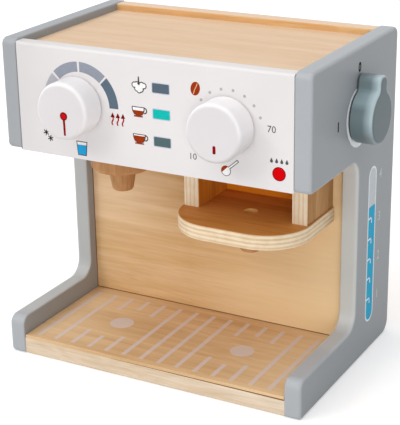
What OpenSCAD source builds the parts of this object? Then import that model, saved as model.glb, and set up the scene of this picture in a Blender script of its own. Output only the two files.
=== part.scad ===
// Toy coffee maker of painted board, veneered plywood and turned beech.
// X runs to the right seen from the front, the front faces -Y, Z is up.
// The origin is the middle of the footprint, at floor level.

/* [Body] */
// Overall width across the two side panels
body_w = 228; // [210:1:260]
// Overall height of the side panels
body_h = 227; // [215:1:250]
// Depth of the head, from its front to the back of the body
head_d = 142; // [134:1:160]
// Height of the head, from its lower edge to the top of the side panels
head_h = 77; // [74:1:82]
// How far the feet stand out in front of the head
foot_lead = 12; // [6:1:20]
// Height of the feet of the side panels
foot_h = 28; // [24:1:34]
// Depth of the uprights, measured from the back
upright_d = 65; // [58:1:70]

/* [Side panels] */
// Thickness of the painted side panels
side_t = 12; // [10:0.5:16]
// Corner radius of the head, front and back
head_r = 5; // [3:0.5:8]
// Corner radius at the front of a foot
foot_r = 7; // [3:0.5:9]
// Corner radius at the lower back
heel_r = 10; // [4:0.5:12]
// Corner radius at the lower front of the head
chin_r = 4; // [3:0.5:8]
// Corner radius at the lower front of a foot
sole_r = 3; // [3:0.5:6]
// Radius of the two inner corners of the C
notch_r = 12; // [6:0.5:16]
// Round-over along the outer edges of a side panel
outer_edge_r = 2.5; // [1:0.25:3]
// Round-over along the inner edges of a side panel
inner_edge_r = 1.25; // [0.5:0.25:2]

/* [Boards] */
// Thickness of the white front panel
front_t = 10; // [8:0.5:12]
// How far the front panel stays below the top of the side panels
front_drop = 1.5; // [0.5:0.25:3]
// Round-over along the top of the front panel
front_edge_r = 2; // [0.5:0.25:3]
// Thickness of the top board and of the floor of the head
board_t = 9; // [8:0.5:12]
// Depth of the tray that the top board forms between the panels
tray_h = 5.4; // [4.5:0.1:8]
// How far the floor of the head sits above the lower edge of the front panel
floor_rise = 3; // [0:0.5:5]
// Thickness of the rear panel
rear_t = 12; // [9:0.5:14]
// How far the rear panel sits inside the back of the side panels
rear_inset = 2; // [1:0.25:4]
// How far the rear panel's top stays below the top of the side panels
rear_drop = 0.7; // [0:0.1:2]
// How far the rear panel's bottom sits above the floor
rear_rise = 6; // [4:0.5:10]
// Thickness of the wall at the back of the cup bay
bay_wall_t = 6; // [5:0.5:9]
// How far the bay wall sits behind the front of the uprights
bay_wall_inset = 8; // [4:0.5:14]
// Width and depth of the cleats behind the bay wall
cleat_w = 12; // [8:1:16]
// How far the cleats stop short of the boards above and below them
cleat_gap = 8; // [2:1:20]

/* [Base] */
// Thickness of the base board
base_t = 12; // [10:0.5:14]
// How far the base board sits behind the front of the feet
base_inset = 1; // [0.5:0.25:4]
// Round-over along the front edges of the base board
base_edge_r = 1.5; // [0.5:0.25:3]
// Thickness of the drip plate on the base board
plate_t = 2.4; // [2:0.1:4]
// Gap between the drip plate and what stands around it
plate_gap = 0.4; // [0.3:0.1:1]

/* [Filter bracket] */
// Gap between the bracket's right wall and the right side panel
bracket_gap = 9.5; // [2:0.5:14]
// Width across the two bracket walls
bracket_w = 92; // [80:1:96]
// Thickness of the bracket walls
bracket_t = 11; // [9:0.5:13]
// Depth of the bracket walls, from the bay wall forwards
bracket_d = 42; // [30:1:46]
// Height of the bracket walls below the floor of the head
bracket_h = 41; // [34:1:50]
// Thickness of the plywood shelf
shelf_t = 10.5; // [8:0.5:12]
// Depth of the shelf, from the bay wall forwards
shelf_d = 72.5; // [64:0.5:76]
// How far the shelf stands out at each side of the walls
shelf_lip = 1.5; // [0:0.25:2]
// Radius of the shelf's two front corners
shelf_r = 32; // [20:1:38]
// Round-over along the shelf's edge
shelf_edge_r = 0.8; // [0.4:0.1:1.5]
// Diameter of the hole in the shelf
shelf_bore = 10; // [8:0.5:12]
// Distance of the hole from the bay wall
shelf_bore_y = 33; // [26:1:38]

/* [Outlets] */
// Distance of the brew outlet's middle from the left side panel
outlet_in = 50; // [42:0.5:56]
// Distance of the brew outlet from the bay wall
outlet_y = 37; // [26:1:44]
// Diameter of the turned outlet cup
cup_d = 44; // [38:1:50]
// Height of the turned outlet cup
cup_h = 23; // [18:1:28]
// Round-over along the lower edge of the outlet cup
cup_r = 4; // [2:0.5:6]
// Length of the nozzle under the outlet cup
outlet_nozzle_l = 16; // [10:1:20]
// Length of the nozzle under the shelf
shelf_nozzle_l = 17.5; // [12:0.5:24]
// Upper diameter of a nozzle
nozzle_d1 = 20; // [16:0.5:22]
// Lower diameter of a nozzle
nozzle_d2 = 14.5; // [12:0.5:15]
// Round-over along the lower edge of a nozzle
nozzle_r = 1.5; // [0.5:0.25:2]
// Diameter of the tenon that holds the outlet nozzle
tenon_d = 8; // [6:0.5:10]
// Length of the tenon that holds the outlet nozzle
tenon_l = 8; // [6:0.5:10]

/* [Knobs] */
// Height of the two dials' middle above the lower edge of the head
dial_z = 37.7; // [34:0.1:40]
// Distance of the temperature dial's middle from the left side panel
temperature_in = 47.5; // [42:0.5:56]
// Distance of the grinder dial's middle from the right side panel
grinder_in = 45.5; // [40:0.5:50]
// Diameter of the two round knobs
knob_d = 38.5; // [32:0.5:42]
// Length of the two round knobs
knob_l = 19.5; // [16:0.5:24]
// Round-over along the face of a round knob
knob_face_r = 3; // [1:0.25:4]
// Round-over along the back of a round knob
knob_back_r = 1.5; // [0.5:0.25:3]
// Diameter of the knobs' axles
axle_d = 8; // [6:0.5:10]
// How deep an axle sits in its knob
axle_depth = 11; // [8:0.5:13]
// Radial clearance of an axle in the board that it turns in
axle_play = 0.08; // [0.02:0.01:0.1]
// Gap between a turning knob or washer and the board
knob_gap = 0.5; // [0.3:0.05:0.8]

/* [Steam lever] */
// Distance of the lever's axle from the bay wall
lever_y = 11.5; // [11:0.5:20]
// Height of the lever's axle above the lower edge of the head
lever_z = 32.6; // [28:0.1:40]
// Diameter of the lever's round body
lever_d = 36; // [30:0.5:38]
// Length of the lever, outwards along its axle
lever_l = 15.5; // [14:0.5:22]
// Width of the lever's finger
lever_finger = 12.5; // [9:0.5:14]
// Distance of the finger's tip from the lever's axle
lever_reach = 27.5; // [25:0.5:32]
// Radius of the two corners at the finger's tip
lever_tip_r = 5; // [3:0.25:6]
// Radius between the finger and the round body
lever_neck_r = 3.5; // [2:0.5:6]
// How far the finger leans back at rest, in degrees
lever_lean = 4; // [0:1:10]
// Round-over along the lever's outer edge
lever_face_r = 2.2; // [0.5:0.1:3]
// Round-over along the lever's edge at the side panel
lever_back_r = 1; // [0.5:0.1:2]
// Gap between the lever and the side panel
lever_gap = 1; // [0.5:0.1:1.5]

/* [Fastenings] */
// Diameter of the dowels between side panels and boards
dowel_d = 5; // [4:0.5:6]
// How deep a dowel sits in a side panel
dowel_in_side = 8; // [6:0.5:9]
// How deep a dowel sits in a board
dowel_in_board = 12; // [10:1:16]
// How much deeper a blind hole is than the dowel or screw in it
dowel_relief = 0.5; // [0.2:0.1:1]
// Distance of the dowels from the ends of their boards
dowel_edge = 16; // [12:1:20]
// Diameter of the wood screws
screw_d = 3.5; // [3:0.1:4]
// Diameter of the wood screws' heads
screw_head_d = 7; // [6:0.1:8]
// Length of the wood screws in the bracket
screw_l = 24; // [20:1:28]
// Distance of the bracket's screws from the front and back of its walls
screw_edge = 10; // [6:1:14]
// Length of the screws in the axles
axle_screw_l = 13; // [10:1:16]
// Diameter of the retaining washers behind the boards
washer_d = 20; // [16:0.5:24]
// Thickness of the retaining washers
washer_t = 3; // [2:0.5:4]

/* [Hidden] */
$fn = 64;

// How far a cutter reaches past the face that it cuts
cut = 1;
// Depth of the screws' recessed drive, and width of their tips
drive_depth = 1.2;
screw_tip_d = 0.6;
// Segments round the lever's body
lever_steps = 36;

paint_grey = "#a3a8aa";
paint_white = "#f3f1f2";
veneer = "#dfbe93";
veneer_dark = "#cfa269";
ply = "#e3c8a0";
beech = "#c4976a";
teal = "#7f9095";
steel = "#b9bcbf";

// Places along Y, from the front to the back
body_d = head_d + foot_lead;
foot_y = -body_d / 2;
head_y = foot_y + foot_lead;
back_y = body_d / 2;
upright_y = back_y - upright_d;
bay_wall_y = upright_y + bay_wall_inset;
front_back_y = head_y + front_t;
rear_y = back_y - rear_inset - rear_t;
base_y = foot_y + base_inset;
shelf_hole_y = bay_wall_y - shelf_bore_y;
outlet_hole_y = bay_wall_y - outlet_y;
steam_y = bay_wall_y - lever_y;

// Places along X
side_x = body_w / 2 - side_t;
temperature_x = side_x - temperature_in;
grinder_x = side_x - grinder_in;
outlet_x = side_x - outlet_in;
bracket_x = side_x - bracket_gap - bracket_w / 2;
bracket_wall_x = bracket_w / 2 - bracket_t;

// Places along Z, from the floor up
plate_z = base_t + plate_t;
head_z = body_h - head_h;
floor_z = head_z + floor_rise;
top_z = body_h - tray_h;
front_z = body_h - front_drop;
shelf_z = floor_z - bracket_h;
outlet_z = floor_z - cup_h;
knob_z = head_z + dial_z;
steam_z = head_z + lever_z;

drive_d = 0.7 * screw_d;
axle_bore_d = axle_d + 2 * axle_play;
axle_hole_depth = axle_depth + dowel_relief;
countersink_h = (screw_head_d - screw_d) / 2;
outlet_screw_l = board_t + cup_h - tenon_l - screw_d;

// Middle of the arc between the lever's finger and its round body
lever_neck_x = lever_finger / 2 + lever_neck_r;
lever_neck_y = sqrt(pow(lever_d / 2 + lever_neck_r, 2) - pow(lever_neck_x, 2));

// Middle lines of the dowels that join each board to the side panels, as [y, z]
dowel_places = [
    [head_y + front_t / 2, head_z + dowel_edge],
    [head_y + front_t / 2, front_z - dowel_edge],
    [front_back_y + dowel_edge, floor_z + board_t / 2],
    [bay_wall_y - dowel_edge, floor_z + board_t / 2],
    [front_back_y + dowel_edge, top_z - board_t / 2],
    [rear_y - dowel_edge, top_z - board_t / 2],
    [base_y + dowel_edge, base_t / 2],
    [(base_y + rear_y) / 2, base_t / 2],
    [rear_y - dowel_edge, base_t / 2],
    [rear_y + rear_t / 2, rear_rise + 2 * dowel_edge],
    [rear_y + rear_t / 2, body_h / 2],
    [rear_y + rear_t / 2, body_h - 2 * dowel_edge],
];

// Screws down through the floor into the bracket walls, and up through the shelf, as [x, y]
bracket_screw_places = [for (side = [-1, 1], back = [screw_edge, bracket_d - screw_edge])
    [bracket_x + side * (bracket_wall_x + bracket_t / 2), bay_wall_y - back]];

// Outline of a side panel in the YZ plane, as [y, z, corner radius], anticlockwise seen from +X
side_corners = [
    [foot_y, 0, sole_r],
    [back_y, 0, heel_r],
    [back_y, body_h, head_r],
    [head_y, body_h, head_r],
    [head_y, head_z, chin_r],
    [upright_y, head_z, notch_r],
    [upright_y, foot_h, notch_r],
    [foot_y, foot_h, foot_r],
];

// Unit vector from corner a to corner b
function heading(a, b) = let (d = [b[0] - a[0], b[1] - a[1]]) d / norm(d);
function wrap(list, i) = list[(i + len(list)) % len(list)];
function xy(corner) = [corner[0], corner[1]];
function turn(a, b) = a[0] * b[1] - a[1] * b[0];

// Space between a sharp corner and the arc that rounds it
module corner_wedge(corner, from, to) {
    r = corner[2];
    point = xy(corner);
    centre = point - from * r + to * r;
    difference() {
        polygon([point + (from - to) * cut, point - from * r - to * cut,
                 centre, point + to * r + from * cut]);
        translate(centre) circle(r);
    }
}

// Closed outline of straight runs with rounded corners
module rounded_outline(corners) {
    function from(i) = heading(wrap(corners, i - 1), corners[i]);
    function to(i) = heading(corners[i], wrap(corners, i + 1));
    difference() {
        union() {
            polygon([for (c = corners) xy(c)]);
            for (i = [0 : len(corners) - 1])
                if (turn(from(i), to(i)) < 0) corner_wedge(corners[i], from(i), to(i));
        }
        for (i = [0 : len(corners) - 1])
            if (turn(from(i), to(i)) > 0) corner_wedge(corners[i], from(i), to(i));
    }
}

// Section of the waste that a round-over takes off an edge at the origin
module edge_waste(r) {
    difference() {
        translate([-cut, -cut]) square(r + cut);
        translate([r, r]) circle(r);
    }
}

// Waste of a round-over of radius r along the whole outline, at the face z = 0
module outline_waste(corners, r) {
    for (i = [0 : len(corners) - 1]) {
        here = corners[i];
        next = wrap(corners, i + 1);
        from = heading(wrap(corners, i - 1), here);
        to = heading(here, next);
        run = norm(xy(next) - xy(here)) - here[2] - next[2];
        translate(xy(here) + to * here[2])
            rotate([0, 0, atan2(to[1], to[0])])
                rotate([90, 0, 90]) linear_extrude(run) edge_waste(r);
        translate(xy(here) - from * here[2] + to * here[2])
            if (turn(from, to) > 0)
                rotate([0, 0, atan2(-to[1], -to[0])])
                    rotate_extrude(angle = 90)
                        translate([here[2], 0]) mirror([1, 0]) edge_waste(r);
            else
                rotate([0, 0, atan2(from[1], from[0])])
                    rotate_extrude(angle = 90)
                        translate([here[2], 0]) edge_waste(r);
    }
}

// Plate of thickness t with rounded corners, and round-overs r0 at z = 0 and r1 at z = t
module eased_plate(corners, t, r0, r1) {
    difference() {
        linear_extrude(t) rounded_outline(corners);
        outline_waste(corners, r0);
        translate([0, 0, t]) mirror([0, 0, 1]) outline_waste(corners, r1);
    }
}

// Long edge along X, rounded by taking off its waste; the edge runs through [0, y, z]
module long_edge_waste(y, z, towards_y, towards_z, length, r) {
    translate([-length / 2, y, z])
        rotate([90, 0, 90]) linear_extrude(length)
            scale([towards_y, towards_z]) edge_waste(r);
}

// Board between the side panels, from its lowest to its highest [y, z]
module board(low, high) {
    translate([-side_x, low[0], low[1]]) cube([2 * side_x, high[0] - low[0], high[1] - low[1]]);
}

// Dowel holes of the given places in both ends of a board
module board_dowel_holes(places) {
    for (side = [-1, 1], p = places)
        translate([side * side_x, p[0], p[1]])
            rotate([0, 90, 0])
                cylinder(d = dowel_d, h = 2 * (dowel_in_board + dowel_relief), center = true);
}

module side_panel() {
    difference() {
        translate([side_x, 0, 0])
            rotate([90, 0, 90]) eased_plate(side_corners, side_t, inner_edge_r, outer_edge_r);
        for (p = dowel_places)
            translate([side_x - cut, p[0], p[1]])
                rotate([0, 90, 0]) cylinder(d = dowel_d, h = dowel_in_side + dowel_relief + cut);
    }
}

module dowels() {
    for (p = dowel_places)
        translate([side_x - dowel_in_board, p[0], p[1]])
            rotate([0, 90, 0]) cylinder(d = dowel_d, h = dowel_in_board + dowel_in_side);
}

// Countersunk wood screw, its head's top at z = 0 and its tip down
module wood_screw(length) {
    tip = screw_d;
    difference() {
        union() {
            translate([0, 0, -countersink_h])
                cylinder(d1 = screw_d, d2 = screw_head_d, h = countersink_h);
            translate([0, 0, tip - length]) cylinder(d = screw_d, h = length - tip - countersink_h);
            translate([0, 0, -length]) cylinder(d1 = screw_tip_d, d2 = screw_d, h = tip);
        }
        translate([0, 0, -drive_depth]) cylinder(d = drive_d, h = drive_depth + cut, $fn = 6);
    }
}

// Hole that a countersunk wood screw fills
module wood_screw_hole(length) {
    tip = screw_d;
    translate([0, 0, -countersink_h])
        cylinder(d1 = screw_d, d2 = screw_head_d, h = countersink_h);
    translate([0, 0, tip - length]) cylinder(d = screw_d, h = length - tip);
    translate([0, 0, -length - dowel_relief]) cylinder(d = screw_d, h = tip + dowel_relief);
}

// Turned nozzle, its top at z = 0
module nozzle(length) {
    rotate_extrude()
        difference() {
            polygon([[0, 0], [nozzle_d1 / 2, 0], [nozzle_d2 / 2, -length], [0, -length]]);
            translate([nozzle_d2 / 2, -length]) scale([-1, 1]) edge_waste(nozzle_r);
        }
}

// Round knob with its back at the origin and its face towards +Z
module round_knob() {
    difference() {
        rotate_extrude()
            difference() {
                square([knob_d / 2, knob_l]);
                translate([knob_d / 2, 0]) scale([-1, 1]) edge_waste(knob_back_r);
                translate([knob_d / 2, knob_l]) scale([-1, -1]) edge_waste(knob_face_r);
            }
        translate([0, 0, -cut]) cylinder(d = axle_d, h = axle_hole_depth + cut);
    }
}

// Axle through a board of thickness t; z = 0 is the board's outer face, gap is the knob's from it
module axle(t, gap) {
    low = -t - knob_gap;
    difference() {
        translate([0, 0, low]) cylinder(d = axle_d, h = axle_depth + gap - low);
        translate([0, 0, low - cut])
            cylinder(d = screw_d, h = axle_screw_l - washer_t + dowel_relief + cut);
    }
}

module retaining_washer(t) {
    translate([0, 0, -t - knob_gap - washer_t])
        difference() {
            cylinder(d = washer_d, h = washer_t);
            translate([0, 0, -cut]) cylinder(d = screw_d, h = washer_t + 2 * cut);
        }
}

// Pan-head screw that holds the retaining washer on the axle
module axle_screw(t) {
    head_h = 0.3 * screw_head_d;
    translate([0, 0, -t - knob_gap - washer_t]) {
        difference() {
            translate([0, 0, -head_h])
                cylinder(d1 = 0.8 * screw_head_d, d2 = screw_head_d, h = head_h);
            translate([0, 0, -head_h - cut]) cylinder(d = drive_d, h = drive_depth + cut, $fn = 6);
        }
        cylinder(d = screw_d, h = axle_screw_l - screw_d);
        translate([0, 0, axle_screw_l - screw_d]) cylinder(d1 = screw_d, d2 = screw_tip_d, h = screw_d);
    }
}

// Puts a knob's parts on the front panel at the given x
module on_front(x) {
    translate([x, head_y, knob_z]) rotate([90, 0, 0]) children();
}

// Puts the lever's parts on the right side panel, +Y up
module on_side() {
    translate([side_x + side_t, steam_y, steam_z]) rotate([90, 0, 90]) children();
}

// Puts the brew outlet's parts on its middle line at the given height
module on_outlet(z) {
    translate([-outlet_x, outlet_hole_y, z]) children();
}

// Points along an arc from angle a0 to angle a1
function arc(centre, r, a0, a1, steps) =
    [for (i = [0 : steps]) let (a = a0 + (a1 - a0) * i / steps) centre + r * [cos(a), sin(a)]];

// Outline of the lever drawn in by inset, anticlockwise from its lowest point: a round body with
// a finger along +Y. The body's arc stops a step short of the neck, where the neck's arc takes over.
function lever_outline(inset) =
    let (a = atan2(lever_neck_x, lever_neck_y), step = (360 - 2 * a) / lever_steps,
         tip = [lever_finger / 2 - lever_tip_r, lever_reach - lever_tip_r],
         half = concat(
             arc([0, 0], lever_d / 2 - inset, step - 90, 90 - a - step, lever_steps / 2 - 2),
             arc([lever_neck_x, lever_neck_y], lever_neck_r + inset, 270 - a, 180, lever_steps / 6),
             arc(tip, lever_tip_r - inset, 0, 90, lever_steps / 6)))
    concat(
        [[0, inset - lever_d / 2]],
        half,
        [for (j = [len(half) - 1 : -1 : 0]) [-half[j][0], half[j][1]]]);

// Lever from z = 0 up, lofted through outlines that follow its two round-overs
module lever_body() {
    back = [for (a = [0 : 30 : 90]) lever_back_r * [1 - sin(a), 1 - cos(a)]];
    face = [for (a = [0 : 22.5 : 90]) [0, lever_l] + lever_face_r * [1 - cos(a), sin(a) - 1]];
    levels = concat(back, face);
    n = len(lever_outline(0));
    last = n * (len(levels) - 1);
    // Each end is a row of flat quads from one half to the other, as the outline is hollow at the neck
    end = concat([[0, 1, n - 1]], [for (j = [1 : (n - 3) / 2]) [j, j + 1, n - j - 1, n - j]]);
    polyhedron(
        points = [for (level = levels, p = lever_outline(level[0])) [p[0], p[1], level[1]]],
        faces = concat(
            end,
            [for (quad = end) [for (j = [len(quad) - 1 : -1 : 0]) last + quad[j]]],
            [for (k = [0 : n : last - 1], j = [0 : n - 1])
                let (next = (j + 1) % n) [k + j, k + n + j, k + n + next, k + next]]));
}

module left_side_panel() {
    color(paint_grey) mirror([1, 0, 0]) side_panel();
}

module right_side_panel() {
    color(paint_grey)
        difference() {
            side_panel();
            on_side() translate([0, 0, -side_t - cut])
                cylinder(d = axle_bore_d, h = side_t + 2 * cut);
        }
}

module front_panel() {
    color(paint_white)
        difference() {
            board([head_y, head_z], [front_back_y, front_z]);
            long_edge_waste(head_y, front_z, 1, -1, body_w, front_edge_r);
            long_edge_waste(front_back_y, front_z, -1, -1, body_w, front_edge_r / 2);
            board_dowel_holes([dowel_places[0], dowel_places[1]]);
            for (x = [-temperature_x, grinder_x])
                on_front(x) translate([0, 0, -front_t - cut])
                    cylinder(d = axle_bore_d, h = front_t + 2 * cut);
        }
}

module top_panel() {
    color(veneer)
        difference() {
            board([front_back_y, top_z - board_t], [rear_y, top_z]);
            board_dowel_holes([dowel_places[4], dowel_places[5]]);
        }
}

module rear_panel() {
    high = body_h - rear_drop;
    color(veneer_dark)
        difference() {
            board([rear_y, rear_rise], [rear_y + rear_t, high]);
            long_edge_waste(rear_y, high, 1, -1, body_w, inner_edge_r);
            long_edge_waste(rear_y + rear_t, high, -1, -1, body_w, outer_edge_r);
            board_dowel_holes([dowel_places[9], dowel_places[10], dowel_places[11]]);
        }
}

module head_floor() {
    color(veneer)
        difference() {
            board([front_back_y, floor_z], [bay_wall_y, floor_z + board_t]);
            board_dowel_holes([dowel_places[2], dowel_places[3]]);
            for (p = bracket_screw_places)
                translate([p[0], p[1], floor_z + board_t]) wood_screw_hole(screw_l);
            on_outlet(floor_z + board_t) wood_screw_hole(outlet_screw_l);
        }
}

module bay_wall() {
    color(veneer)
        board([bay_wall_y, base_t], [bay_wall_y + bay_wall_t, top_z - board_t]);
}

module bay_wall_cleats() {
    color(beech)
        for (side = [-1, 1])
            translate([side * (side_x - cleat_w / 2) - cleat_w / 2,
                       bay_wall_y + bay_wall_t, base_t + cleat_gap])
                cube([cleat_w, cleat_w, top_z - board_t - base_t - 2 * cleat_gap]);
}

module base_board() {
    color(ply)
        difference() {
            board([base_y, 0], [rear_y, base_t]);
            long_edge_waste(base_y, 0, 1, 1, body_w, base_edge_r);
            board_dowel_holes([dowel_places[6], dowel_places[7], dowel_places[8]]);
        }
}

module drip_plate() {
    color(veneer_dark)
        difference() {
            translate([plate_gap - side_x, base_y, base_t])
                cube([2 * (side_x - plate_gap), bay_wall_y - plate_gap - base_y, plate_t]);
            long_edge_waste(base_y, plate_z, 1, -1, body_w, plate_t / 4);
        }
}

// Bracket wall at the left (-1) or right (1) of the bracket
module bracket_wall(side) {
    middle = bracket_x + side * (bracket_wall_x + bracket_t / 2);
    difference() {
        translate([middle - bracket_t / 2, bay_wall_y - bracket_d, shelf_z])
            cube([bracket_t, bracket_d, bracket_h]);
        for (p = bracket_screw_places) {
            translate([p[0], p[1], floor_z + board_t]) wood_screw_hole(screw_l);
            translate([p[0], p[1], shelf_z - shelf_t]) mirror([0, 0, 1]) wood_screw_hole(screw_l);
        }
    }
}

module bracket_left_wall() {
    color(ply) bracket_wall(-1);
}

module bracket_right_wall() {
    color(ply) bracket_wall(1);
}

module bracket_shelf() {
    half = bracket_w / 2 + shelf_lip;
    square_r = 2;
    corners = [
        [bracket_x - half, bay_wall_y - shelf_d, shelf_r],
        [bracket_x + half, bay_wall_y - shelf_d, shelf_r],
        [bracket_x + half, bay_wall_y, square_r],
        [bracket_x - half, bay_wall_y, square_r],
    ];
    color(ply)
        difference() {
            translate([0, 0, shelf_z - shelf_t])
                eased_plate(corners, shelf_t, shelf_edge_r, shelf_edge_r);
            translate([bracket_x, shelf_hole_y, shelf_z - shelf_t - cut])
                cylinder(d = shelf_bore, h = shelf_t + 2 * cut);
            for (p = bracket_screw_places)
                translate([p[0], p[1], shelf_z - shelf_t]) mirror([0, 0, 1]) wood_screw_hole(screw_l);
        }
}

module shelf_nozzle() {
    color(beech)
        translate([bracket_x, shelf_hole_y, shelf_z - shelf_t])
            difference() {
                nozzle(shelf_nozzle_l);
                translate([0, 0, -shelf_nozzle_l - cut])
                    cylinder(d = shelf_bore - 3, h = shelf_nozzle_l + 2 * cut);
            }
}

module outlet_cup() {
    color(beech)
        difference() {
            on_outlet(outlet_z)
                rotate_extrude()
                    difference() {
                        square([cup_d / 2, cup_h]);
                        translate([cup_d / 2, 0]) scale([-1, 1]) edge_waste(cup_r);
                    }
            on_outlet(outlet_z - cut) cylinder(d = tenon_d, h = tenon_l + dowel_relief + cut);
            on_outlet(floor_z + board_t) wood_screw_hole(outlet_screw_l);
        }
}

module outlet_nozzle() {
    color(beech) {
        on_outlet(outlet_z) nozzle(outlet_nozzle_l);
        on_outlet(outlet_z - cut) cylinder(d = tenon_d, h = tenon_l + cut);
    }
}

module outlet_screw() {
    color(steel) on_outlet(floor_z + board_t) wood_screw(outlet_screw_l);
}

module bracket_screws() {
    color(steel)
        for (p = bracket_screw_places)
            translate([p[0], p[1], floor_z + board_t]) wood_screw(screw_l);
}

module shelf_screws() {
    color(steel)
        for (p = bracket_screw_places)
            translate([p[0], p[1], shelf_z - shelf_t]) mirror([0, 0, 1]) wood_screw(screw_l);
}

module left_dowels() {
    color(beech) mirror([1, 0, 0]) dowels();
}

module right_dowels() {
    color(beech) dowels();
}

module temperature_knob() {
    color(paint_white) on_front(-temperature_x) translate([0, 0, knob_gap]) round_knob();
}

module temperature_axle() {
    color(beech) on_front(-temperature_x) axle(front_t, knob_gap);
}

module temperature_washer() {
    color(ply) on_front(-temperature_x) retaining_washer(front_t);
}

module temperature_screw() {
    color(steel) on_front(-temperature_x) axle_screw(front_t);
}

module grinder_knob() {
    color(paint_white) on_front(grinder_x) translate([0, 0, knob_gap]) round_knob();
}

module grinder_axle() {
    color(beech) on_front(grinder_x) axle(front_t, knob_gap);
}

module grinder_washer() {
    color(ply) on_front(grinder_x) retaining_washer(front_t);
}

module grinder_screw() {
    color(steel) on_front(grinder_x) axle_screw(front_t);
}

module steam_lever() {
    color(teal)
        on_side() translate([0, 0, lever_gap]) rotate([0, 0, -lever_lean])
            difference() {
                lever_body();
                translate([0, 0, -cut]) cylinder(d = axle_d, h = axle_hole_depth + cut);
            }
}

module steam_axle() {
    color(beech) on_side() axle(side_t, lever_gap);
}

module steam_washer() {
    color(ply) on_side() retaining_washer(side_t);
}

module steam_screw() {
    color(steel) on_side() axle_screw(side_t);
}

left_side_panel();
right_side_panel();
front_panel();
top_panel();
rear_panel();
head_floor();
bay_wall();
bay_wall_cleats();
base_board();
drip_plate();
bracket_left_wall();
bracket_right_wall();
bracket_shelf();
shelf_nozzle();
outlet_cup();
outlet_nozzle();
outlet_screw();
bracket_screws();
shelf_screws();
left_dowels();
right_dowels();
temperature_knob();
temperature_axle();
temperature_washer();
temperature_screw();
grinder_knob();
grinder_axle();
grinder_washer();
grinder_screw();
steam_lever();
steam_axle();
steam_washer();
steam_screw();
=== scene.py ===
import math

import bmesh
import bpy
from mathutils import Matrix, Vector
from mathutils.geometry import tessellate_polygon


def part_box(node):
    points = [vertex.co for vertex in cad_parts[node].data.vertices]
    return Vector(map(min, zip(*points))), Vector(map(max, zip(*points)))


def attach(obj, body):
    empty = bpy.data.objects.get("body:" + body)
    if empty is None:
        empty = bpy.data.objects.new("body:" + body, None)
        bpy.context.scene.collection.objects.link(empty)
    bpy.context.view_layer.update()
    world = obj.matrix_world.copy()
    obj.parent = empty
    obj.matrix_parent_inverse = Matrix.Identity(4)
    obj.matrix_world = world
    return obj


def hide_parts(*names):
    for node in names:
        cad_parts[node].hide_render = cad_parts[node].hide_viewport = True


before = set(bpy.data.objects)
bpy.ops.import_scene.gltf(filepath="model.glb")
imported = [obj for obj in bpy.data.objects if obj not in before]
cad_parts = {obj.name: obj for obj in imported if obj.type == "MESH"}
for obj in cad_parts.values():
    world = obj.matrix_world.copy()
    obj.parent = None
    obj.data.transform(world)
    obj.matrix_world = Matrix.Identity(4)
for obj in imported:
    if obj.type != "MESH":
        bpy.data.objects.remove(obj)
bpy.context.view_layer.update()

# A wooden toy coffee maker at its real size, in metres: the frame's own nodes get paint, wood and
# steel, the lever a smooth skin, and every print is a thin piece that rides the body under it.

MM = 0.001
FAR = 300  # mm, beyond every side of the toy


def add_object(name, data):
    """A new object in the scene, at the origin."""
    thing = bpy.data.objects.new(name, data)
    bpy.context.scene.collection.objects.link(thing)
    return thing


# ---------------------------------------------------------------- camera and light

CAMERA_AT = (0.4234, -0.7646, 0.4286)  # m
CAMERA_LOOKS = (-0.4531, 0.8186, -0.3531)
CAMERA_ROLL = -1.0  # degrees
CAMERA_LENS = 112.55  # mm
CAMERA_SENSOR = 36.0  # mm
CAMERA_REACH = 30.0  # m

WORLD_LIGHT = 0.48
WORLD_COLOUR = (0.985, 0.99, 1.0, 1.0)
WORLD_SHOWN = (1.0, 1.0, 1.0, 1.0)

LAMP_AWAY = 2.6  # m from the point that the lamps are aimed at
LAMP_AIM = (0, 0, 0.12)
SKY_STRENGTH = 1.38  # W/m2
SKY_FROM = (-0.25, -0.30, 1.0)
SKY_ANGLE = 80.0  # degrees
SOFTBOX_COLOUR = (1.0, 0.985, 0.97)
SOFTBOX_POWER = 9.0  # W
SOFTBOX_SIZE = 0.8  # m
SOFTBOX_FROM = (-0.62, -0.95, 0.75)
FILL_POWER = 15.0  # W
FILL_SIZE = 1.1  # m
FILL_FROM = (0.55, -1.0, 0.10)


def make_camera():
    look = Vector(CAMERA_LOOKS).normalized()
    right = look.cross(Vector((0, 0, 1))).normalized()
    up = right.cross(look)
    roll = math.radians(CAMERA_ROLL)
    across = right * math.cos(roll) + up * math.sin(roll)
    upward = up * math.cos(roll) - right * math.sin(roll)
    data = bpy.data.cameras.new("camera")
    data.lens = CAMERA_LENS
    data.sensor_width = CAMERA_SENSOR
    data.clip_end = CAMERA_REACH
    camera = add_object("camera", data)
    matrix = Matrix((across, upward, -look)).transposed().to_4x4()
    matrix.translation = Vector(CAMERA_AT)
    camera.matrix_world = matrix
    bpy.context.scene.camera = camera


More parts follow.
